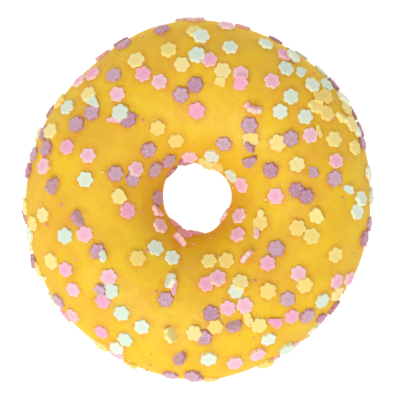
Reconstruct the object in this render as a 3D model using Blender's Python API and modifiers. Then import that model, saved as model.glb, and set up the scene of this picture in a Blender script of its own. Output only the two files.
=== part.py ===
"""Ring doughnut dipped in yellow icing and strewn with small pressed-sugar flowers.

The ring lies on its flat underside at z = 0, with its middle over the origin. +Y runs along its longer
side and +Z up through the hole. Sizes are in metres. A bearing is the angle round the ring from +X, and a
section angle goes round the dough's section, from 0 at the outer side over 90 degrees on the crown to 180
at the hole.
"""

import math
import random
from dataclasses import dataclass

import bmesh
import bpy
from mathutils import Matrix, Vector, noise
from mathutils.bvhtree import BVHTree

# The iced ring, as seen from above
ICED_RADIUS = 0.0455
HOLE_RADIUS = 0.0091
HOLE_SHIFT = Vector((-0.0006, 0.0006, 0.0))

# The ring's section: a round crown over a lower belly, pressed flat where it rests
EQUATOR_HEIGHT = 0.0140
CROWN_RISE = 0.0144
BELLY_DROP = 0.0155

# The icing is a shell that lies this far off the dough
ICING_THICKNESS = 0.0013
ICING_GAP = 0.00035
ICING_BUILD = ICING_THICKNESS + ICING_GAP

# Unevenness: how many crests go round the ring, their height and the bearing of the first, in degrees
OUTER_WAVES = ((2, 0.00090, 74), (4, 0.00030, 3), (5, 0.00016, 35), (6, 0.00027, 36))
HOLE_WAVES = ((2, 0.00028, 119), (3, 0.00023, 16), (4, 0.00022, 21))
CROWN_WAVES = ((1, 0.00040, 215), (3, 0.00035, 70), (5, 0.00020, 10))
SWELL_HEIGHT = 0.00045
SWELL_SPAN = 0.013

# Where the icing's lower edge runs, as crests in the section angle
EDGE_WAVES = ((3, math.radians(1.8), 20), (7, math.radians(2.2), 5), (11, math.radians(1.4), 0))

# The plain colours and roughness of the two solids
DOUGH_FINISH = ((0.58, 0.31, 0.11), 0.7)
ICING_FINISH = ((0.84, 0.47, 0.03), 0.4)

# Facets of the ring
ROUND_FACETS = 44
SECTION_FACETS = 18
SECTION_STEP = 2 * math.pi / SECTION_FACETS
TORUS_RADIUS = 0.027
TORUS_TUBE = 0.017

# The sugar flowers
LOBES = 6
FLOWER_RADIUS = 0.00215
NOTCH_RADIUS = 0.00172
FLOWER_THICKNESS = 0.0012
FLOWER_SINK = 0.0005
FLOWER_COUNT = 167
SIZE_SPREAD = 0.06

# How the flowers fell
SCATTER_SEED = 1235
LOWEST_OUTSIDE = math.radians(-3)
LOWEST_IN_HOLE = math.radians(183)
CLEAR_SPACING = 0.0041
MOST_LEAN = math.radians(6)
STACKED_SHARE = 0.15
STACKED_SPACING = (0.0025, 0.0036)
STANDING_SHARE = 0.09
LOWEST_STANDING = 0.022
STANDING_LEAN = (math.radians(55), math.radians(80))
STANDING_LIFT = 0.0008

# Patches with more flowers or fewer: bearing in degrees, distance from the middle, and share more or fewer
PATCHES = (
    (30, 0.043, 1.6),
    (20, 0.036, 0.8),
    (15, 0.024, 0.9),
    (60, 0.022, 0.8),
    (105, 0.012, 1.8),
    (125, 0.019, 1.2),
    (150, 0.037, 0.8),
    (250, 0.012, 1.2),
    (270, 0.044, 0.5),
    (285, 0.027, 0.7),
    (325, 0.044, 0.9),
    (335, 0.018, 0.7),
    (120, 0.030, -0.8),
    (130, 0.040, -0.5),
    (150, 0.025, -0.8),
    (165, 0.012, -0.9),
    (205, 0.016, -0.9),
    (190, 0.026, -0.7),
    (210, 0.037, -0.6),
    (232, 0.024, -0.7),
    (250, 0.034, -0.8),
    (310, 0.024, -0.8),
    (335, 0.031, -0.7),
    (350, 0.036, -0.8),
)
PATCH_REACH = 0.0055
LEAST_SHARE = 0.1
MOST_SHARE = 3.0


def wave(bearing, crests):
    """The sum of cosine crests at a bearing."""
    return sum(
        height * math.cos(count * (bearing - math.radians(first))) for count, height, first in crests
    )


def skin(bearing, section):
    """A point of the dough's skin."""
    outer = ICED_RADIUS - ICING_BUILD + wave(bearing, OUTER_WAVES)
    inner = HOLE_RADIUS + ICING_BUILD + wave(bearing, HOLE_WAVES)
    across = (outer + inner) / 2 + (outer - inner) / 2 * math.cos(section)
    rise = math.sin(section)
    if rise > 0:
        height = EQUATOR_HEIGHT + (CROWN_RISE + wave(bearing, CROWN_WAVES)) * rise
    else:
        height = max(0.0, EQUATOR_HEIGHT + BELLY_DROP * rise)
    point = Vector((across * math.cos(bearing), across * math.sin(bearing), height))
    swell = SWELL_HEIGHT * noise.noise(point / SWELL_SPAN) * max(0.0, rise)
    near_hole = (1 - math.cos(section)) / 2
    return point + HOLE_SHIFT * near_hole + Vector((0, 0, swell))


def frame_at(bearing, section):
    """The direction along the ring and the outward normal of the skin."""
    step = 0.01
    along = skin(bearing + step, section) - skin(bearing - step, section)
    over = skin(bearing, section + step) - skin(bearing, section - step)
    return along.normalized(), along.cross(over).normalized()


def over_skin(bearing, section, lift):
    """A point at a height over the dough's skin."""
    return skin(bearing, section) + lift * frame_at(bearing, section)[1]


def clear_scene():
    for thing in list(bpy.data.objects):
        bpy.data.objects.remove(thing, do_unlink=True)


def material(name, colour, roughness):
    made = bpy.data.materials.new(name)
    made.use_nodes = True
    shader = made.node_tree.nodes["Principled BSDF"]
    shader.inputs["Base Color"].default_value = (*colour, 1.0)
    shader.inputs["Roughness"].default_value = roughness
    return made


def new_collection(name):
    made = bpy.data.collections.new(name)
    bpy.context.scene.collection.children.link(made)
    return made


def move_to(thing, collection):
    for old in list(thing.users_collection):
        old.objects.unlink(thing)
    collection.objects.link(thing)


def torus(name):
    """A plain torus with the ring's facets."""
    bpy.ops.mesh.primitive_torus_add(
        major_segments=ROUND_FACETS,
        minor_segments=SECTION_FACETS,
        major_radius=TORUS_RADIUS,
        minor_radius=TORUS_TUBE,
    )
    made = bpy.context.object
    made.name = name
    made.data.name = name
    return made


def angles_of(vertex):
    """The bearing and the section angle, from -180 to 180 degrees, of a torus vertex."""
    x, y, z = vertex.co
    return math.atan2(y, x), math.atan2(z, math.hypot(x, y) - TORUS_RADIUS)


def make_dough():
    """The fried ring: a torus drawn onto the dough's skin."""
    dough = torus("dough")
    for vertex in dough.data.vertices:
        vertex.co = skin(*angles_of(vertex))
    dough.data.materials.append(material("fried_dough", *DOUGH_FINISH))
    dough.data.shade_smooth()
    return dough


def make_icing_shell():
    """The coat of icing: a torus without its underside, drawn over the dough and thickened outwards."""
    icing = torus("icing")
    mesh = bmesh.new()
    mesh.from_mesh(icing.data)
    outer_edge = -SECTION_STEP
    hole_edge = SECTION_STEP - math.pi
    half_row = SECTION_STEP / 2
    under = [v for v in mesh.verts if hole_edge + half_row < angles_of(v)[1] < outer_edge - half_row]
    bmesh.ops.delete(mesh, geom=under, context="VERTS")
    for vertex in mesh.verts:
        bearing, section = angles_of(vertex)
        run = wave(bearing, EDGE_WAVES)
        if abs(section - outer_edge) < half_row:
            section -= run
        elif abs(section - hole_edge) < half_row:
            section += run
        vertex.co = over_skin(bearing, section, ICING_GAP)
    mesh.to_mesh(icing.data)
    mesh.free()
    icing.data.materials.append(material("yellow_icing", *ICING_FINISH))
    thicken = icing.modifiers.new("icing_coat", "SOLIDIFY")
    thicken.thickness = ICING_THICKNESS
    thicken.offset = 1
    thicken.use_even_offset = True
    bpy.context.view_layer.objects.active = icing
    bpy.ops.object.modifier_apply(modifier=thicken.name)
    return icing


def flower_mesh():
    """One pressed-sugar flower: a thin cylinder whose every second corner is drawn in to a notch."""
    bpy.ops.mesh.primitive_cylinder_add(
        vertices=2 * LOBES, radius=FLOWER_RADIUS, depth=FLOWER_THICKNESS, end_fill_type="NGON"
    )
    flower = bpy.context.object
    for vertex in flower.data.vertices:
        corner = round(math.atan2(vertex.co.y, vertex.co.x) / (math.pi / LOBES))
        if corner % 2:
            vertex.co.x *= NOTCH_RADIUS / FLOWER_RADIUS
            vertex.co.y *= NOTCH_RADIUS / FLOWER_RADIUS
    made = flower.data
    made.name = "sugar_flower"
    bpy.data.objects.remove(flower)
    return made


@dataclass
class Flower:
    """How a flower lies: where, its size, its turn about its middle, and how far it leans and is lifted.

    It leans up towards leans_to, an angle in the icing's surface from the direction along the ring.
    """

    bearing: float
    section: float
    spot: Vector
    size: float
    spin: float
    lean: float
    leans_to: float
    lift: float = 0.0
    lone: bool = True


def share_at(place):
    """How many flowers fall at a place, as a share of what an even scatter would drop there."""
    share = 1.0
    for bearing, distance, more in PATCHES:
        turn = math.radians(bearing)
        away = math.hypot(place.x - distance * math.cos(turn), place.y - distance * math.sin(turn))
        share += more * math.exp(-((away / PATCH_REACH) ** 2))
    return max(LEAST_SHARE, share)


def drop_flower(draw):
    """A flower dropped on the iced skin, evenly by area apart from the patches."""
    while True:
        bearing = draw.uniform(0, 2 * math.pi)
        section = draw.uniform(LOWEST_OUTSIDE, LOWEST_IN_HOLE)
        place = skin(bearing, section)
        if draw.uniform(0, ICED_RADIUS * MOST_SHARE) < math.hypot(place.x, place.y) * share_at(place):
            break
    spot = over_skin(bearing, section, ICING_BUILD)
    size = 1 + draw.uniform(-SIZE_SPREAD, SIZE_SPREAD)
    spin = draw.uniform(0, 2 * math.pi)
    lean = draw.uniform(0, MOST_LEAN)
    return Flower(bearing, section, spot, size, spin, lean, leans_to=draw.uniform(0, 2 * math.pi))


def room_round(flower, fallen):
    """The distance from a flower to the nearest that has fallen."""
    return min(((flower.spot - other.spot).length for other in fallen), default=math.inf)


def drop_clear(draw, fallen):
    """A flower clear of every other. Near the crown, a few of them stand on edge."""
    flower = drop_flower(draw)
    while room_round(flower, fallen) < CLEAR_SPACING:
        flower = drop_flower(draw)
    if draw.random() < STANDING_SHARE and flower.spot.z > LOWEST_STANDING:
        flower.lean = draw.uniform(*STANDING_LEAN)
        flower.lift = STANDING_LIFT
    return flower


def drop_on_another(draw, fallen):
    """A flower that comes to rest with one edge on a single lone flower, and the other in the icing."""
    while True:
        flower = drop_flower(draw)
        touched = [other for other in fallen if (flower.spot - other.spot).length < CLEAR_SPACING]
        if len(touched) != 1 or not touched[0].lone:
            continue
        gap = touched[0].spot - flower.spot
        if STACKED_SPACING[0] < gap.length < STACKED_SPACING[1]:
            break
    along, outward = frame_at(flower.bearing, flower.section)
    flower.leans_to = math.atan2(gap.dot(outward.cross(along)), gap.dot(along))
    flower.lean = math.atan2(FLOWER_THICKNESS - FLOWER_SINK, gap.length)
    flower.lift = NOTCH_RADIUS * math.tan(flower.lean)
    flower.lone = touched[0].lone = False
    return flower


def strew(draw, count):
    """The flowers, in the order in which they fell."""
    fallen = []
    for _ in range(count):
        on_another = draw.random() < STACKED_SHARE and any(other.lone for other in fallen)
        fallen.append(drop_on_another(draw, fallen) if on_another else drop_clear(draw, fallen))
    return fallen


def flower_place(flower, surface):
    """The matrix that lays a flower on the icing's faceted surface."""
    along, outward = frame_at(flower.bearing, flower.section)
    level = Matrix((along, outward.cross(along), outward)).transposed().to_4x4()
    height = FLOWER_THICKNESS / 2 - FLOWER_SINK + flower.lift
    middle = surface.find_nearest(flower.spot)[0] + height * outward
    # A turn about this line lifts the edge that the flower leans up to.
    hinge = Vector((math.sin(flower.leans_to), -math.cos(flower.leans_to), 0))
    leaning = Matrix.Rotation(flower.lean, 4, hinge) @ Matrix.Rotation(flower.spin, 4, "Z")
    return Matrix.Translation(middle) @ level @ leaning @ Matrix.Scale(flower.size, 4)


def fuse_flowers(icing):
    """Joins a flower at each place to the coat, which makes the icing one solid."""
    flowers = new_collection("flowers")
    shape = flower_mesh()
    surface = BVHTree.FromObject(icing, bpy.context.evaluated_depsgraph_get())
    for number, fallen in enumerate(strew(random.Random(SCATTER_SEED), FLOWER_COUNT)):
        copy = bpy.data.objects.new(f"flower_{number}", shape)
        copy.matrix_world = flower_place(fallen, surface)
        flowers.objects.link(copy)
    join = icing.modifiers.new("flowers_on", "BOOLEAN")
    join.operation = "UNION"
    join.operand_type = "COLLECTION"
    join.collection = flowers
    join.solver = "MANIFOLD"
    bpy.context.view_layer.objects.active = icing
    bpy.ops.object.modifier_apply(modifier=join.name)
    for copy in list(flowers.objects):
        bpy.data.objects.remove(copy)
    bpy.data.collections.remove(flowers)


def main():
    clear_scene()
    doughnut = new_collection("doughnut")
    dough = make_dough()
    move_to(dough, doughnut)
    icing = make_icing_shell()
    fuse_flowers(icing)
    move_to(icing, doughnut)


main()
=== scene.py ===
import math
import random
from dataclasses import dataclass

import bpy
from mathutils import Matrix, Vector, noise
from mathutils.kdtree import KDTree


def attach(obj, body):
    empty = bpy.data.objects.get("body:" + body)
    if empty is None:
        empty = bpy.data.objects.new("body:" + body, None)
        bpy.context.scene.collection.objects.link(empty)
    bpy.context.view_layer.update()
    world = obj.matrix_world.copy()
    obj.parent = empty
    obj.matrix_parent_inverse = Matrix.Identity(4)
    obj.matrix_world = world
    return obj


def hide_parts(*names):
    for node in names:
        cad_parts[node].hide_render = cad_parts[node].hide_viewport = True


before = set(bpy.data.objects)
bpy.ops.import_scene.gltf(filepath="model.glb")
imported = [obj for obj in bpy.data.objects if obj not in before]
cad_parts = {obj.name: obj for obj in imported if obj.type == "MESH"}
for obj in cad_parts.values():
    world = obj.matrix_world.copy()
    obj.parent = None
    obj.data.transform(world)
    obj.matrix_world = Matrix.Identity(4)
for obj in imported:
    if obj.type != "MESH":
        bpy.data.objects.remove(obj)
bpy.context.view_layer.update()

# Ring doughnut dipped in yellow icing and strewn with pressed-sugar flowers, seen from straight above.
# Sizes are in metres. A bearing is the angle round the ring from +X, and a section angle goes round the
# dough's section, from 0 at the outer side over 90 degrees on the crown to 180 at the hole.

# The iced ring, as seen from above
ICED_RADIUS = 0.0455
HOLE_RADIUS = 0.0091
HOLE_SHIFT = Vector((-0.0006, 0.0006, 0.0))

# The ring's section: a round crown over a lower belly, pressed flat where it rests
EQUATOR_HEIGHT = 0.0140
CROWN_RISE = 0.0144
BELLY_DROP = 0.0155

# The coat of icing. The solid model leaves a gap under it. Here it fills the gap and bites into the dough.
ICING_THICKNESS = 0.0013
ICING_GAP = 0.00035
ICING_BUILD = ICING_THICKNESS + ICING_GAP
ICING_BITE = 0.0003
OUTER_EDGE = math.radians(-20)
HOLE_EDGE = math.radians(200)
LIP_ROUND = 0.0016
BEAD_HEIGHT = 0.0003
BEAD_INSET = 0.0021
BEAD_WIDTH = 0.0011

# Unevenness: how many crests go round the ring, their height and the bearing of the first, in degrees. The
# height is a section angle along the coat's lower edge, and a length elsewhere.
OUTER_WAVES = ((2, 0.00090, 74), (4, 0.00030, 3), (5, 0.00016, 35), (6, 0.00027, 36))
HOLE_WAVES = ((2, 0.00028, 119), (3, 0.00023, 16), (4, 0.00022, 21))
CROWN_WAVES = ((1, 0.00040, 215), (3, 0.00035, 70), (5, 0.00020, 10))
SWELL_HEIGHT = 0.00045
SWELL_SPAN = 0.013
RIPPLE_HEIGHT = 0.00024
RIPPLE_SPAN = 0.0065
EDGE_WAVES = (
    (3, math.radians(1.8), 20),
    (7, math.radians(2.2), 5),
    (11, math.radians(1.4), 0),
    (17, math.radians(0.7), 8),
    (26, math.radians(0.5), 3),
)

# Wrinkles of the bare crust, as height and span, and the sines of the section angles where they start and
# where they are full
WRINKLES = ((0.00016, 0.0035), (0.00035, 0.011))
WRINKLES_START = -0.25
WRINKLES_FULL = -0.45

# The plain torus that the dough and the coat are shaped from, with its facets round the ring and round its
# section, before each is split in two
TORUS_RADIUS = 0.027
TORUS_TUBE = 0.017
ICING_FACETS = (192, 126)
DOUGH_FACETS = (128, 72)
# How far round the torus section the coat's outer side reaches, and how much closer its facets lie at the
# edges, as a share
ICING_TURN = math.radians(240)
EDGE_CROWDING = 0.55

# The sugar flowers
LOBES = 6
LOBE_CORNERS = 5
FLOWER_RADIUS = 0.00215
NOTCH_RADIUS = 0.00172
LOBE_REACH = 0.59
FLOWER_THICKNESS = 0.0012
FLOWER_SINK = 0.0005
FLOWER_COUNT = 167
SIZE_SPREAD = 0.06
RIM_BEVEL = 0.00016

# How the flowers fell
SCATTER_SEED = 1235
LOWEST_OUTSIDE = math.radians(-3)
LOWEST_IN_HOLE = math.radians(183)
CLEAR_SPACING = 0.0041
MOST_LEAN = math.radians(6)
STACKED_SHARE = 0.15
STACKED_SPACING = (0.0025, 0.0036)
STANDING_SHARE = 0.09
LOWEST_STANDING = 0.022
STANDING_LEAN = (math.radians(55), math.radians(80))
STANDING_LIFT = 0.0008

# Patches with more flowers or fewer: bearing in degrees, distance from the middle, and share more or fewer
PATCHES = (
    (30, 0.043, 1.6),
    (20, 0.036, 0.8),
    (15, 0.024, 0.9),
    (60, 0.022, 0.8),
    (105, 0.012, 1.8),
    (125, 0.019, 1.2),
    (150, 0.037, 0.8),
    (250, 0.012, 1.2),
    (270, 0.044, 0.5),
    (285, 0.027, 0.7),
    (325, 0.044, 0.9),
    (335, 0.018, 0.7),
    (120, 0.030, -0.8),
    (130, 0.040, -0.5),
    (150, 0.025, -0.8),
    (165, 0.012, -0.9),
    (205, 0.016, -0.9),
    (190, 0.026, -0.7),
    (210, 0.037, -0.6),
    (232, 0.024, -0.7),
    (250, 0.034, -0.8),
    (310, 0.024, -0.8),
    (335, 0.031, -0.7),
    (350, 0.036, -0.8),
)
PATCH_REACH = 0.0055
LEAST_SHARE = 0.1
MOST_SHARE = 3.0

# Flowers beyond those that the solid model has room for
EXTRA_COUNT = 28

# Broken flowers: what is left beyond each cut, whose distance from the middle is a share of the radius and
# whose direction is in degrees
BREAKS = (
    ((-0.05, 5), (-0.15, 50)),
    ((-0.5, 40),),
    ((0.3, 60), (-0.45, 0)),
    ((-0.1, 75), (-0.6, 340), (-0.55, 170)),
    ((0.3, 10), (0.25, 100)),
    ((-0.35, 100), (-0.45, 250)),
    ((0.0, 300), (-0.1, 25), (0.25, 340)),
)
BREAK_SLANT = 0.25
BREAK_ROUGHNESS = 1.2
BIT_COUNT = 34
BIT_SPACING = 0.0022
BIT_SINK = 0.0003
BIT_LEAN = math.radians(22)

# Crumbs of sugar. Their corners, width, thickness and lift are shares of a crumb's radius.
CRUMB_COUNT = 84
CRUMB_SHAPES = 4
CRUMB_RADIUS = (0.00022, 0.00062)
CRUMB_SPACING = 0.0016
CRUMB_CORNERS = (0.7, 1.15)
CRUMB_WIDTH = (0.6, 1.0)
CRUMB_THICKNESS = 0.7
CRUMB_LIFT = 0.3

# The icing that creeps up round each flower
CREEP_HEIGHT = 0.00010
CREEP_DISTANCE = 0.0023
CREEP_WIDTH = 0.00035

# How far the painted shade reaches round each flower: an orange darkening of the icing that stands in for the
# shade the flowers cast on it
FLOWER_SHADE_WIDTH = 0.0011

# Which pattern of clouds the icing has, and how far from the middle its painted shade, a deeper orange yellow
# that stands in for the shade in the hole and low on the outer side, fades out of the hole and comes in again
# on the outer side
CLOUD_SEED = 3.0
HOLE_SHADE = (0.0095, 0.0165)
OUTSIDE_SHADE = (0.0385, 0.0455)

# The heights between which the browned crust gives way to the pale band round the sides
PALE_BAND = (0.0035, 0.0085)

# How far the line of a flower's rim colour goes in and out with the lobes, as a share of the radius
RIM_WAVE = 0.115

# Colours of the flowers: each one's share, and the spots with a cluster of it, as bearing and distance from
# the middle
COLOUR_SEED = 2098
COLOUR_SHARES = {"pink": 0.30, "purple": 0.25, "mint": 0.21, "yellow": 0.24}
CLUSTER_REACH = 0.0062
CLUSTERS = (
    ("pink", 240, 0.0095),
    ("purple", 135, 0.0125),
    ("mint", 48, 0.032),
    ("yellow", 283, 0.0135),
    ("yellow", 32, 0.039),
    ("yellow", 117, 0.019),
    ("mint", 49, 0.044),
    ("mint", 2, 0.043),
    ("pink", 332, 0.009),
    ("pink", 130, 0.044),
    ("pink", 118, 0.031),
    ("purple", 8, 0.030),
    ("purple", 262, 0.044),
    ("mint", 232, 0.014),
    ("yellow", 350, 0.027),
    ("pink", 63, 0.034),
)

# The white table and the light
FLOOR_GAP = 0.0001
FLOOR_SIZE = 3
FLOOR_GLOW = 0.95
ROOM_LIGHT = 0.63
WINDOW_PLACE = Vector((-0.24, -0.50, 0.86))
WINDOW_AIM = Vector((0, 0, 0.02))
WINDOW_SIZE = 0.5
WINDOW_POWER = 4.95

# The photograph's frame, with the lens and its sensor in millimetres
FRAME_WIDTH = 0.1042
LENS = 200
SENSOR = 36
CAMERA_X = 0.0003


def wave(bearing, crests):
    """The sum of cosine crests at a bearing."""
    return sum(
        height * math.cos(count * (bearing - math.radians(first))) for count, height, first in crests
    )


def bell(distance, width):
    """1 at no distance, about a third at the width, and next to nothing beyond twice the width."""
    return math.exp(-((distance / width) ** 2))


def seen_from_above(bearing, distance):
    """The place at a bearing in degrees and a distance from the middle."""
    turn = math.radians(bearing)
    return distance * math.cos(turn), distance * math.sin(turn)


def skin(bearing, section):
    """A point of the dough's skin."""
    outer = ICED_RADIUS - ICING_BUILD + wave(bearing, OUTER_WAVES)
    inner = HOLE_RADIUS + ICING_BUILD + wave(bearing, HOLE_WAVES)
    across = (outer + inner) / 2 + (outer - inner) / 2 * math.cos(section)
    rise = math.sin(section)
    if rise > 0:
        height = EQUATOR_HEIGHT + (CROWN_RISE + wave(bearing, CROWN_WAVES)) * rise
    else:
        height = max(0.0, EQUATOR_HEIGHT + BELLY_DROP * rise)
    point = Vector((across * math.cos(bearing), across * math.sin(bearing), height))
    swell = SWELL_HEIGHT * noise.noise(point / SWELL_SPAN) * max(0.0, rise)
    near_hole = (1 - math.cos(section)) / 2
    return point + HOLE_SHIFT * near_hole + Vector((0, 0, swell))


def frame_at(bearing, section):
    """The direction along the ring and the outward normal of the skin."""
    step = 0.01
    along = skin(bearing + step, section) - skin(bearing - step, section)
    over = skin(bearing, section + step) - skin(bearing, section - step)
    return along.normalized(), along.cross(over).normalized()


def over_skin(bearing, section, lift):
    """A point at a height over the dough's skin."""
    return skin(bearing, section) + lift * frame_at(bearing, section)[1]


@dataclass
class Flower:
    """How a flower, bit or crumb lies: where, its size and turn, and how far it leans and is lifted.

    It leans up towards leans_to, an angle in the icing's surface from the direction along the ring.
    """

    bearing: float
    section: float
    spot: Vector
    size: float
    spin: float
    lean: float
    leans_to: float
    lift: float = 0.0
    lone: bool = True


def share_at(place):
    """How many flowers fall at a place, as a share of what an even scatter would drop there."""
    share = 1.0
    for bearing, distance, more in PATCHES:
        away = math.dist(place.xy, seen_from_above(bearing, distance))
        share += more * bell(away, PATCH_REACH)
    return max(LEAST_SHARE, share)


def drop_flower(draw):
    """A flower dropped on the iced skin, evenly by area apart from the patches."""
    while True:
        bearing = draw.uniform(0, 2 * math.pi)
        section = draw.uniform(LOWEST_OUTSIDE, LOWEST_IN_HOLE)
        place = skin(bearing, section)
        if draw.uniform(0, ICED_RADIUS * MOST_SHARE) < math.hypot(place.x, place.y) * share_at(place):
            break
    spot = over_skin(bearing, section, ICING_BUILD)
    size = 1 + draw.uniform(-SIZE_SPREAD, SIZE_SPREAD)
    spin = draw.uniform(0, 2 * math.pi)
    lean = draw.uniform(0, MOST_LEAN)
    return Flower(bearing, section, spot, size, spin, lean, leans_to=draw.uniform(0, 2 * math.pi))


def room_round(flower, fallen):
    """The distance from a flower to the nearest that has fallen."""
    return min(((flower.spot - other.spot).length for other in fallen), default=math.inf)


def drop_clear(draw, fallen):
    """A flower clear of every other. Near the crown, a few of them stand on edge."""
    flower = drop_flower(draw)
    while room_round(flower, fallen) < CLEAR_SPACING:
        flower = drop_flower(draw)
    if draw.random() < STANDING_SHARE and flower.spot.z > LOWEST_STANDING:
        flower.lean = draw.uniform(*STANDING_LEAN)
        flower.lift = STANDING_LIFT
    return flower


def drop_on_another(draw, fallen):
    """A flower that comes to rest with one edge on a single lone flower, and the other in the icing."""
    while True:
        flower = drop_flower(draw)
        touched = [other for other in fallen if (flower.spot - other.spot).length < CLEAR_SPACING]
        if len(touched) != 1 or not touched[0].lone:
            continue
        gap = touched[0].spot - flower.spot
        if STACKED_SPACING[0] < gap.length < STACKED_SPACING[1]:
            break
    along, outward = frame_at(flower.bearing, flower.section)
    flower.leans_to = math.atan2(gap.dot(outward.cross(along)), gap.dot(along))
    flower.lean = math.atan2(FLOWER_THICKNESS - FLOWER_SINK, gap.length)
    flower.lift = NOTCH_RADIUS * math.tan(flower.lean)
    flower.lone = touched[0].lone = False
    return flower


def strew(draw, count):
    """The flowers, in the order in which they fell."""
    fallen = []
    for _ in range(count):
        on_another = draw.random() < STACKED_SHARE and any(other.lone for other in fallen)
        fallen.append(drop_on_another(draw, fallen) if on_another else drop_clear(draw, fallen))
    return fallen


def strew_small(draw, count, spacing, fallen):
    """Small things dropped clear of the middles of the flowers and of each other."""
    small = []
    while len(small) < count:
        bit = drop_flower(draw)
        if room_round(bit, fallen + small) > spacing:
            small.append(bit)
    return small


def place_on_icing(flower, height, scale):
    """The matrix that lays a flower's shape with its middle at a height over the icing."""
    along, outward = frame_at(flower.bearing, flower.section)
    level = Matrix((along, outward.cross(along), outward)).transposed().to_4x4()
    middle = flower.spot + (height + flower.lift) * outward
    # A turn about this line lifts the edge that the flower leans up to.
    hinge = Vector((math.sin(flower.leans_to), -math.cos(flower.leans_to), 0))
    leaning = Matrix.Rotation(flower.lean, 4, hinge) @ Matrix.Rotation(flower.spin, 4, "Z")
    return Matrix.Translation(middle) @ level @ leaning @ Matrix.Diagonal((*scale, 1))


def select_only(thing):
    """Selects a thing alone and makes it the active one."""
    bpy.ops.object.select_all(action="DESELECT")
    thing.select_set(True)
    bpy.context.view_layer.objects.active = thing


def fine_torus(name, facets):
    """A plain torus whose facets are split in two both ways."""
    bpy.ops.mesh.primitive_torus_add(
        major_segments=facets[0],
        minor_segments=facets[1],
        major_radius=TORUS_RADIUS,
        minor_radius=TORUS_TUBE,
    )
    ring = bpy.context.object
    ring.name = name
    ring.data.name = name
    bpy.ops.object.mode_set(mode="EDIT")
    bpy.ops.mesh.select_all(action="SELECT")
    bpy.ops.mesh.subdivide(number_cuts=1)
    bpy.ops.object.mode_set(mode="OBJECT")
    ring.data.shade_smooth()
    return ring


def angles_of(vertex):
    """The bearing and the section angle of a torus vertex."""
    x, y, z = vertex.co
    return math.atan2(y, x), math.atan2(z, math.hypot(x, y) - TORUS_RADIUS)


def coat_edges(bearing):
    """The section angles of the coat's lower edges on the outer side and in the hole."""
    run = wave(bearing, EDGE_WAVES)
    return OUTER_EDGE - run, HOLE_EDGE + run


def coat_section(bearing, share):
    """The section angle at a share of the way over the coat, from its outer edge to the one in the hole."""
    outer, inner = coat_edges(bearing)
    eased = share - EDGE_CROWDING * math.sin(2 * math.pi * share) / (2 * math.pi)
    return outer + eased * (inner - outer)


def make_icing(flowers):
    """The coat of icing: a torus folded into a shell with a rounded, beaded lower edge."""
    tree = KDTree(len(flowers))
    for number, flower in enumerate(flowers):
        tree.insert(flower.spot, number)
    tree.balance()

    icing = fine_torus("yellow_icing", ICING_FACETS)
    painted_flower_shade = [0.0] * len(icing.data.vertices)
    for vertex in icing.data.vertices:
        bearing, angle = angles_of(vertex)
        turned = (angle + ICING_TURN / 2 - math.pi / 2) % (2 * math.pi)
        if turned > ICING_TURN:
            share_back = (turned - ICING_TURN) / (2 * math.pi - ICING_TURN)
            vertex.co = over_skin(bearing, coat_section(bearing, 1 - share_back), -ICING_BITE)
            continue
        section = coat_section(bearing, turned / ICING_TURN)
        outer, inner = coat_edges(bearing)
        from_edge = min(section - outer, inner - section) * TORUS_TUBE
        rounding = math.sqrt(max(0.0, 1 - max(0.0, 1 - from_edge / LIP_ROUND) ** 2))
        bead = BEAD_HEIGHT * bell(from_edge - BEAD_INSET, BEAD_WIDTH)
        base = over_skin(bearing, section, ICING_BUILD)
        ripple = RIPPLE_HEIGHT * noise.noise(base / RIPPLE_SPAN)
        distance = tree.find(base)[2]
        creep = CREEP_HEIGHT * bell(distance - CREEP_DISTANCE, CREEP_WIDTH)
        # Painted shade: how much the icing darkens to orange next to the nearest flower
        painted_flower_shade[vertex.index] = bell(max(0.0, distance - FLOWER_RADIUS), FLOWER_SHADE_WIDTH)
        full = ICING_BUILD + bead + ripple + creep
        vertex.co = over_skin(bearing, section, (full + ICING_BITE) * rounding - ICING_BITE)
    icing.data.attributes.new("painted_flower_shade", "FLOAT", "POINT").data.foreach_set("value", painted_flower_shade)
    return icing


def make_dough():
    """The fried ring, its skin smooth under the icing and slightly wrinkled below it."""
    dough = fine_torus("fried_dough", DOUGH_FACETS)
    for vertex in dough.data.vertices:
        bearing, section = angles_of(vertex)
        point = skin(bearing, section)
        wrinkle = sum(height * noise.noise(point / span) for height, span in WRINKLES)
        bare = (WRINKLES_START - math.sin(section)) / (WRINKLES_START - WRINKLES_FULL)
        point += frame_at(bearing, section)[1] * wrinkle * min(1.0, max(0.0, bare))
        point.z = max(0.0, point.z)
        vertex.co = point
    return dough


def lobed_radius(angle):
    """The radius of the flower's outline: a circle for each lobe, set out from the middle."""
    step = 2 * math.pi / LOBES
    off = abs((angle + step / 2) % step - step / 2)
    reach = LOBE_REACH * FLOWER_RADIUS
    lobe = FLOWER_RADIUS - reach
    return reach * math.cos(off) + math.sqrt(max(0.0, lobe**2 - (reach * math.sin(off)) ** 2))


def model_flower():
    """One pressed-sugar flower: a thin cylinder drawn in between its lobes, with its upper rim bevelled."""
    bpy.ops.mesh.primitive_cylinder_add(
        vertices=LOBES * LOBE_CORNERS, radius=FLOWER_RADIUS, depth=FLOWER_THICKNESS, end_fill_type="NGON"
    )
    flower = bpy.context.object
    for vertex in flower.data.vertices:
        x, y, z = vertex.co
        angle = math.atan2(y, x)
        radius = lobed_radius(angle)
        vertex.co = (radius * math.cos(angle), radius * math.sin(angle), z)
    bpy.ops.object.mode_set(mode="EDIT")
    bpy.ops.mesh.select_all(action="DESELECT")
    bpy.ops.object.mode_set(mode="OBJECT")
    heights = [vertex.co.z for vertex in flower.data.vertices]
    for edge in flower.data.edges:
        edge.select = all(heights[number] > 0 for number in edge.vertices)
    bpy.ops.object.mode_set(mode="EDIT")
    bpy.ops.mesh.select_mode(type="EDGE")
    bpy.ops.mesh.bevel(offset=RIM_BEVEL, segments=1)
    bpy.ops.object.mode_set(mode="OBJECT")
    return flower


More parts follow.
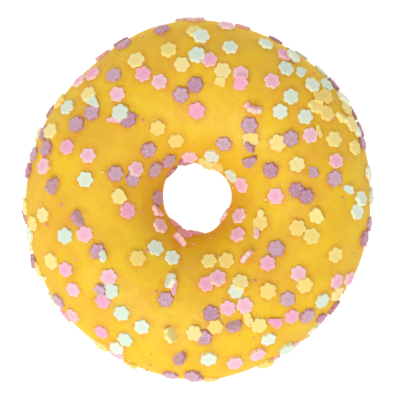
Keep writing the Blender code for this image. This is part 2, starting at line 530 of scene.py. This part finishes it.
def break_flower(flower, cuts):
    """A copy of the flower with a piece left after each cut."""
    bit = flower.copy()
    bit.data = flower.data.copy()
    bpy.context.collection.objects.link(bit)
    select_only(bit)
    bpy.ops.object.mode_set(mode="EDIT")
    for offset, direction in cuts:
        turn = math.radians(direction)
        normal = Vector((math.cos(turn), math.sin(turn), BREAK_SLANT))
        bpy.ops.mesh.select_all(action="SELECT")
        bpy.ops.mesh.bisect(
            plane_co=offset * FLOWER_RADIUS * normal,
            plane_no=normal,
            use_fill=True,
            clear_inner=True,
        )
        bpy.ops.mesh.subdivide(number_cuts=2, fractal=BREAK_ROUGHNESS, seed=direction)
        bpy.ops.mesh.poke()
    bpy.ops.object.mode_set(mode="OBJECT")
    return bit


def model_crumb(draw):
    """A chip of sugar with uneven corners, about one unit in radius."""
    bpy.ops.mesh.primitive_ico_sphere_add(subdivisions=1, radius=1)
    crumb = bpy.context.object
    for vertex in crumb.data.vertices:
        vertex.co *= draw.uniform(*CRUMB_CORNERS)
    return crumb


def take_shape(thing):
    """A modelled shape's corners and faces, and its object removed."""
    corners = [vertex.co.copy() for vertex in thing.data.vertices]
    faces = [tuple(face.vertices) for face in thing.data.polygons]
    bpy.data.objects.remove(thing)
    return corners, faces


def join_copies(name, copies):
    """One piece that holds a copy of a shape at each place, with its shade and its own flat coordinates.

    A copy is a shape, its matrix and its shade from -1 to 1.
    """
    points = []
    faces = []
    flat = []
    shades = []
    for (corners, shape_faces), matrix, shade in copies:
        first = len(points)
        points += [matrix @ corner for corner in corners]
        shades += [shade] * len(corners)
        for face in shape_faces:
            faces.append([first + number for number in face])
            for number in face:
                flat += [corners[number].x / FLOWER_RADIUS, corners[number].y / FLOWER_RADIUS]
    mesh = bpy.data.meshes.new(name)
    mesh.from_pydata(points, [], faces)
    mesh.uv_layers.new(name="petal").data.foreach_set("uv", flat)
    mesh.attributes.new("shade", "FLOAT", "POINT").data.foreach_set("value", shades)
    piece = bpy.data.objects.new(name, mesh)
    bpy.context.collection.objects.link(piece)
    return piece


class Varying:
    """A value that varies over a surface. Arithmetic on it adds Math nodes."""

    def __init__(self, finish, socket):
        self.finish = finish
        self.socket = socket

    def __add__(self, other):
        return self.finish.math("ADD", self, other)

    def __radd__(self, other):
        return self.finish.math("ADD", other, self)

    def __sub__(self, other):
        return self.finish.math("SUBTRACT", self, other)

    def __rsub__(self, other):
        return self.finish.math("SUBTRACT", other, self)

    def __mul__(self, other):
        return self.finish.math("MULTIPLY", self, other)

    def __rmul__(self, other):
        return self.finish.math("MULTIPLY", other, self)

    def __truediv__(self, other):
        return self.finish.math("DIVIDE", self, other)

    def between(self, low, high):
        """0 below low, 1 above high and smooth between."""
        return self.finish.node(
            "ShaderNodeMapRange",
            {"interpolation_type": "SMOOTHSTEP"},
            {"Value": self, "From Min": low, "From Max": high},
        )


class Finish:
    """A material, the constants of its shader, and the nodes that vary it."""

    def __init__(self, name, **constants):
        self.material = bpy.data.materials.new(name)
        self.material.use_nodes = True
        self.tree = self.material.node_tree
        self.shader = self.tree.nodes["Principled BSDF"]
        for socket, value in constants.items():
            self.shader.inputs[socket.replace("_", " ")].default_value = value

    def feed(self, socket, value):
        if isinstance(value, Varying):
            self.tree.links.new(value.socket, socket)
        else:
            socket.default_value = value

    def node(self, kind, settings, inputs, output=0):
        """A node with its settings made, its sockets fed, and the chosen output as a varying value."""
        made = self.tree.nodes.new(kind)
        for name, value in settings.items():
            setattr(made, name, value)
        for name, value in inputs.items():
            self.feed(made.inputs[name], value)
        return Varying(self, made.outputs[output])

    def math(self, operation, first, second=0.0):
        return self.node("ShaderNodeMath", {"operation": operation}, {0: first, 1: second})

    def place(self):
        return self.node("ShaderNodeTexCoord", {}, {}, "Object")

    def parts(self, vector):
        """The X, Y and Z of a vector."""
        first = self.node("ShaderNodeSeparateXYZ", {}, {0: vector})
        return [Varying(self, socket) for socket in first.socket.node.outputs]

    def from_axis(self):
        """The distance from the ring's axis."""
        inputs = {0: self.place(), 1: (1, 1, 0)}
        flat = self.node("ShaderNodeVectorMath", {"operation": "MULTIPLY"}, inputs)
        return self.node("ShaderNodeVectorMath", {"operation": "LENGTH"}, {0: flat}, "Value")

    def noise(self, span, detail=2.0, roughness=0.5, seed=0.0):
        """Noise from about 0 to 1, with lumps about this wide."""
        inputs = {
            "Vector": self.place(),
            "W": seed,
            "Scale": 1 / span,
            "Detail": detail,
            "Roughness": roughness,
        }
        return self.node("ShaderNodeTexNoise", {"noise_dimensions": "4D"}, inputs, "Fac")

    def grains(self, span):
        """The distance to the nearest grain of a crowd that lie about this far apart, as a share of it."""
        return self.node("ShaderNodeTexVoronoi", {}, {"Vector": self.place(), "Scale": 1 / span}, "Distance")

    def attribute(self, name):
        return self.node("ShaderNodeAttribute", {"attribute_name": name}, {}, "Fac")

    def layers(self, tint, *over):
        """A colour with others laid over it in turn, each given as how far it covers, and its colour."""
        for cover, other in over:
            tint = self.node("ShaderNodeMix", {"data_type": "RGBA"}, {0: cover, 6: tint, 7: other}, 2)
        return tint

    def bump(self, height, distance):
        """A surface normal from a height in units of this distance."""
        return self.node("ShaderNodeBump", {}, {"Height": height, "Distance": distance}, "Normal")

    def set(self, socket, value):
        self.feed(self.shader.inputs[socket], value)


def colour(red, green, blue):
    """A colour picked on the screen, from 0 to 255, as the shader's linear one."""

    def linear(level):
        share = level / 255
        return share / 12.92 if share <= 0.04045 else ((share + 0.055) / 1.055) ** 2.4

    return linear(red), linear(green), linear(blue), 1.0


WHITE = colour(255, 255, 255)
TABLE_GREY = (0.3, 0.3, 0.3, 1.0)

ICING_YELLOW = colour(249, 203, 33)
ICING_CLOUD = colour(239, 187, 46)
ICING_RUST = colour(238, 172, 50)
ICING_FRECKLE = colour(237, 166, 58)
ICING_PALE = colour(252, 214, 66)
# The orange of the painted shade round each flower
ICING_FLOWER_SHADE = colour(232, 158, 44)
# The deeper yellows of the painted shade in the hole and low on the outer side
ICING_PAINTED_HOLE_SHADE = colour(232, 173, 14)
ICING_PAINTED_OUTER_SHADE = colour(230, 178, 18)
ICING_STAIN = colour(240, 150, 120)

CRUST_BROWN = colour(166, 98, 38)
CRUST_GOLDEN = colour(198, 132, 62)
CRUST_PALE = colour(232, 190, 128)

SUGAR_CREAM = colour(255, 248, 240)
SUGAR_GLINT = colour(255, 244, 248)
CRUMB_PINK = colour(243, 158, 160)
CRUMB_CREAM = colour(252, 222, 165)
CRUMB_PURPLE = colour(206, 150, 168)


@dataclass
class Sugar:
    """A sugar's colours at a flower's middle, on its petals, at its rim and where it is deepest, and how much
    its bright grains glint."""

    core: tuple
    petal: tuple
    rim: tuple
    deep: tuple
    glint: float


SUGARS = {
    "pink": Sugar(
        core=colour(244, 169, 199),
        petal=colour(248, 190, 208),
        rim=colour(255, 214, 201),
        deep=colour(244, 160, 193),
        glint=0.15,
    ),
    "purple": Sugar(
        core=colour(188, 142, 170),
        petal=colour(205, 156, 174),
        rim=colour(192, 124, 142),
        deep=colour(190, 138, 160),
        glint=0.62,
    ),
    "mint": Sugar(
        core=colour(218, 233, 212),
        petal=colour(226, 238, 218),
        rim=colour(240, 245, 209),
        deep=colour(216, 232, 215),
        glint=0.1,
    ),
    "yellow": Sugar(
        core=colour(251, 223, 124),
        petal=colour(252, 228, 131),
        rim=colour(254, 238, 142),
        deep=colour(252, 209, 116),
        glint=0.08,
    ),
}


def icing_finish():
    """Set fondant icing: satin, a little translucent, with faint orange clouds and fine ripples, and painted
    orange shade round the flowers, in the hole and low on the outer side.
    """
    finish = Finish(
        "yellow_icing",
        Subsurface_Weight=0.35,
        Subsurface_Radius=(0.0030, 0.0016, 0.0005),
        Subsurface_Scale=1.0,
        Specular_IOR_Level=0.35,
    )
    clouds = finish.noise(span=0.016, detail=3.0, seed=CLOUD_SEED).between(0.40, 0.66)
    rust = finish.noise(span=0.007, detail=4.0, roughness=0.6, seed=CLOUD_SEED).between(0.48, 0.72)
    freckles = finish.noise(span=0.0019, detail=3.0, roughness=0.6).between(0.50, 0.70)
    pale = finish.noise(span=0.0027).between(0.54, 0.72)
    # Painted shade round each flower, broken up by noise
    painted_flower_shade = finish.attribute("painted_flower_shade") * finish.noise(span=0.003).between(0.35, 0.6)
    across = finish.from_axis()
    # Painted shade: a deeper orange yellow in the hole and low on the outer side, where the icing lies in
    # shade
    shaded_hole = 1 - across.between(*HOLE_SHADE)
    shaded_outside = across.between(*OUTSIDE_SHADE)
    stains = 1 - finish.grains(span=0.0045).between(0.05, 0.12)
    tint = finish.layers(
        ICING_YELLOW,
        (clouds, ICING_CLOUD),
        (rust * 0.45, ICING_RUST),
        (freckles * 0.28, ICING_FRECKLE),
        (pale * 0.25, ICING_PALE),
        (painted_flower_shade * 0.55, ICING_FLOWER_SHADE),
        (shaded_hole * 0.6, ICING_PAINTED_HOLE_SHADE),
        (shaded_outside * 0.35, ICING_PAINTED_OUTER_SHADE),
        (stains * 0.45, ICING_STAIN),
    )
    finish.set("Base Color", tint)
    smears = finish.noise(span=0.006)
    finish.set("Roughness", 0.42 + 0.14 * smears + 0.35 * shaded_hole + 0.2 * shaded_outside)
    pits = 1 - finish.grains(span=0.0035).between(0.02, 0.06)
    lumps = finish.noise(span=0.0035, detail=3.0) + 0.04 * finish.noise(span=0.0006) - 0.25 * pits
    finish.set("Normal", finish.bump(lumps, distance=0.0003))
    return finish.material


def dough_finish():
    """Fried crust: golden brown below, with a pale band where the dough floated, and fine pores."""
    finish = Finish(
        "fried_dough",
        Subsurface_Weight=0.08,
        Subsurface_Radius=(0.002, 0.001, 0.0004),
        Specular_IOR_Level=0.3,
    )
    height = finish.parts(finish.place())[2]
    uneven = finish.noise(span=0.009, detail=4.0) - 0.5
    band = (height + uneven * 0.004).between(*PALE_BAND)
    blotches = finish.noise(span=0.005, detail=5.0, roughness=0.6).between(0.35, 0.7)
    finish.set("Base Color", finish.layers(CRUST_BROWN, (blotches, CRUST_GOLDEN), (band, CRUST_PALE)))
    finish.set("Roughness", 0.55 + 0.2 * finish.noise(span=0.003))
    pores = finish.noise(span=0.0012, detail=4.0, roughness=0.65)
    dents = finish.noise(span=0.004, detail=3.0)
    finish.set("Normal", finish.bump(pores + 0.6 * dents, distance=0.0004))
    return finish.material


def sugar_finish(name, sugar):
    """Pressed sugar: matt and grainy, of another shade towards the rim, with a few bright grains."""
    finish = Finish(
        name,
        Subsurface_Weight=0.25,
        Subsurface_Radius=(0.0012, 0.0010, 0.0009),
        Specular_IOR_Level=0.3,
    )
    along, across, _ = finish.parts(finish.node("ShaderNodeUVMap", {"uv_map": "petal"}, {}))
    reach = finish.math("SQRT", along * along + across * across)
    turn = finish.math("ARCTAN2", across, along)
    outline = (1 - RIM_WAVE) + RIM_WAVE * finish.math("COSINE", turn * LOBES)
    out = reach / outline
    grain = finish.noise(span=0.0005)
    petals = (out + 0.5 * (grain - 0.5)).between(0.1, 0.75)
    shade = finish.attribute("shade")
    paler = shade.between(-1.0, 1.0)
    deeper = 1 - shade.between(-0.9, 0.1)
    glints = (1 - finish.grains(span=0.00055).between(0.12, 0.32)) * sugar.glint
    tint = finish.layers(
        sugar.core,
        (petals, sugar.petal),
        (out.between(0.78, 1.0), sugar.rim),
        (paler * 0.2, SUGAR_CREAM),
        (deeper * 0.5, sugar.deep),
        (grain.between(0.48, 0.66) * 0.4, sugar.core),
        (glints, SUGAR_GLINT),
    )
    finish.set("Base Color", tint)
    finish.set("Roughness", 0.75 - 0.25 * glints)
    finish.set("Normal", finish.bump(grain + 0.5 * finish.noise(span=0.00022), distance=0.00008))
    return finish.material


def crumb_finish():
    """Chips of the same sugar, each pink, cream or purple by its shade."""
    finish = Finish(
        "sugar_crumbs",
        Roughness=0.8,
        Subsurface_Weight=0.25,
        Subsurface_Radius=(0.0008, 0.0006, 0.0005),
    )
    shade = finish.attribute("shade")
    creamy = shade.between(0.0, 0.7)
    purple = shade.between(0.75, 0.8)
    finish.set("Base Color", finish.layers(CRUMB_PINK, (creamy, CRUMB_CREAM), (purple, CRUMB_PURPLE)))
    return finish.material


def pick_colour(paint, flower):
    """The colour of the cluster that a flower lies in, or else one drawn by its share."""
    drawn = paint.choices(list(COLOUR_SHARES), list(COLOUR_SHARES.values()))[0]
    for name, bearing, distance in CLUSTERS:
        if math.dist(flower.spot.xy, seen_from_above(bearing, distance)) < CLUSTER_REACH:
            return name
    return drawn


def finish_piece(piece, material, node):
    """Gives a piece its material and says what it rides on and stands for."""
    piece.data.materials.append(material)
    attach(piece, "root")
    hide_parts(node)


def make_flowers(flowers, bits, paint):
    """The whole and broken flowers, one piece to each colour."""
    flower = model_flower()
    broken = [take_shape(break_flower(flower, cuts)) for cuts in BREAKS]
    whole = take_shape(flower)
    copies = {name: [] for name in COLOUR_SHARES}
    for fallen in flowers:
        matrix = place_on_icing(fallen, FLOWER_THICKNESS / 2 - FLOWER_SINK, [fallen.size] * 3)
        copies[pick_colour(paint, fallen)].append((whole, matrix, paint.uniform(-1, 1)))
    for number, bit in enumerate(bits):
        bit.lean = paint.uniform(0, BIT_LEAN)
        matrix = place_on_icing(bit, FLOWER_THICKNESS / 2 - BIT_SINK, [bit.size] * 3)
        shape = broken[number % len(broken)]
        copies[pick_colour(paint, bit)].append((shape, matrix, paint.uniform(-1, 1)))
    for name, sugar in SUGARS.items():
        piece = join_copies(f"{name}_flowers", copies[name])
        finish_piece(piece, sugar_finish(f"{name}_sugar", sugar), "icing")


def make_crumbs(crumbs, draw, paint):
    """The crumbs, in a few shapes."""
    chips = [take_shape(model_crumb(draw)) for _ in range(CRUMB_SHAPES)]
    copies = []
    for number, crumb in enumerate(crumbs):
        size = paint.uniform(*CRUMB_RADIUS)
        scale = (size, size * paint.uniform(*CRUMB_WIDTH), size * CRUMB_THICKNESS)
        matrix = place_on_icing(crumb, size * CRUMB_LIFT, scale)
        copies.append((chips[number % len(chips)], matrix, paint.uniform(-1, 1)))
    finish_piece(join_copies("sugar_crumbs", copies), crumb_finish(), "icing")


def make_doughnut():
    """The dough, its coat of icing and the sugar that fell on it."""
    draw = random.Random(SCATTER_SEED)
    flowers = strew(draw, FLOWER_COUNT + EXTRA_COUNT)
    bits = strew_small(draw, BIT_COUNT, BIT_SPACING, flowers)
    crumbs = strew_small(draw, CRUMB_COUNT, CRUMB_SPACING, flowers + bits)

    finish_piece(make_dough(), dough_finish(), "dough")
    finish_piece(make_icing(flowers), icing_finish(), "icing")
    paint = random.Random(COLOUR_SEED)
    make_flowers(flowers, bits, paint)
    make_crumbs(crumbs, draw, paint)


def make_floor():
    """A white table that glows a little, as on a light box, so that it stays white under the ring."""
    bpy.ops.mesh.primitive_plane_add(size=FLOOR_SIZE, location=(0, 0, -FLOOR_GAP))
    floor = bpy.context.object
    floor.name = "floor"
    finish = Finish(
        "white_table",
        Base_Color=TABLE_GREY,
        Roughness=0.9,
        Emission_Color=WHITE,
        Emission_Strength=FLOOR_GLOW,
    )
    floor.data.materials.append(finish.material)


def light_room():
    """A white room with a large soft window, high up over the lower left of the picture."""
    world = bpy.data.worlds.new("white_room")
    world.use_nodes = True
    background = world.node_tree.nodes["Background"]
    background.inputs["Color"].default_value = WHITE
    background.inputs["Strength"].default_value = ROOM_LIGHT
    bpy.context.scene.world = world
    bpy.context.scene.view_settings.view_transform = "Standard"

    lamp = bpy.data.lights.new("window", "AREA")
    lamp.shape = "SQUARE"
    lamp.size = WINDOW_SIZE
    lamp.energy = WINDOW_POWER
    window = bpy.data.objects.new("window", lamp)
    window.location = WINDOW_PLACE
    window.rotation_euler = (WINDOW_AIM - WINDOW_PLACE).to_track_quat("-Z", "Y").to_euler()
    bpy.context.collection.objects.link(window)


def set_camera():
    """A camera straight above, whose frame is FRAME_WIDTH wide at the ring's equator."""
    lens = bpy.data.cameras.new("camera")
    lens.lens = LENS
    lens.sensor_width = SENSOR
    camera = bpy.data.objects.new("camera", lens)
    camera.location = (CAMERA_X, 0, EQUATOR_HEIGHT + FRAME_WIDTH * LENS / SENSOR)
    bpy.context.collection.objects.link(camera)
    bpy.context.scene.camera = camera


bpy.ops.object.select_all(action="DESELECT")
make_doughnut()
make_floor()
light_room()
set_camera()
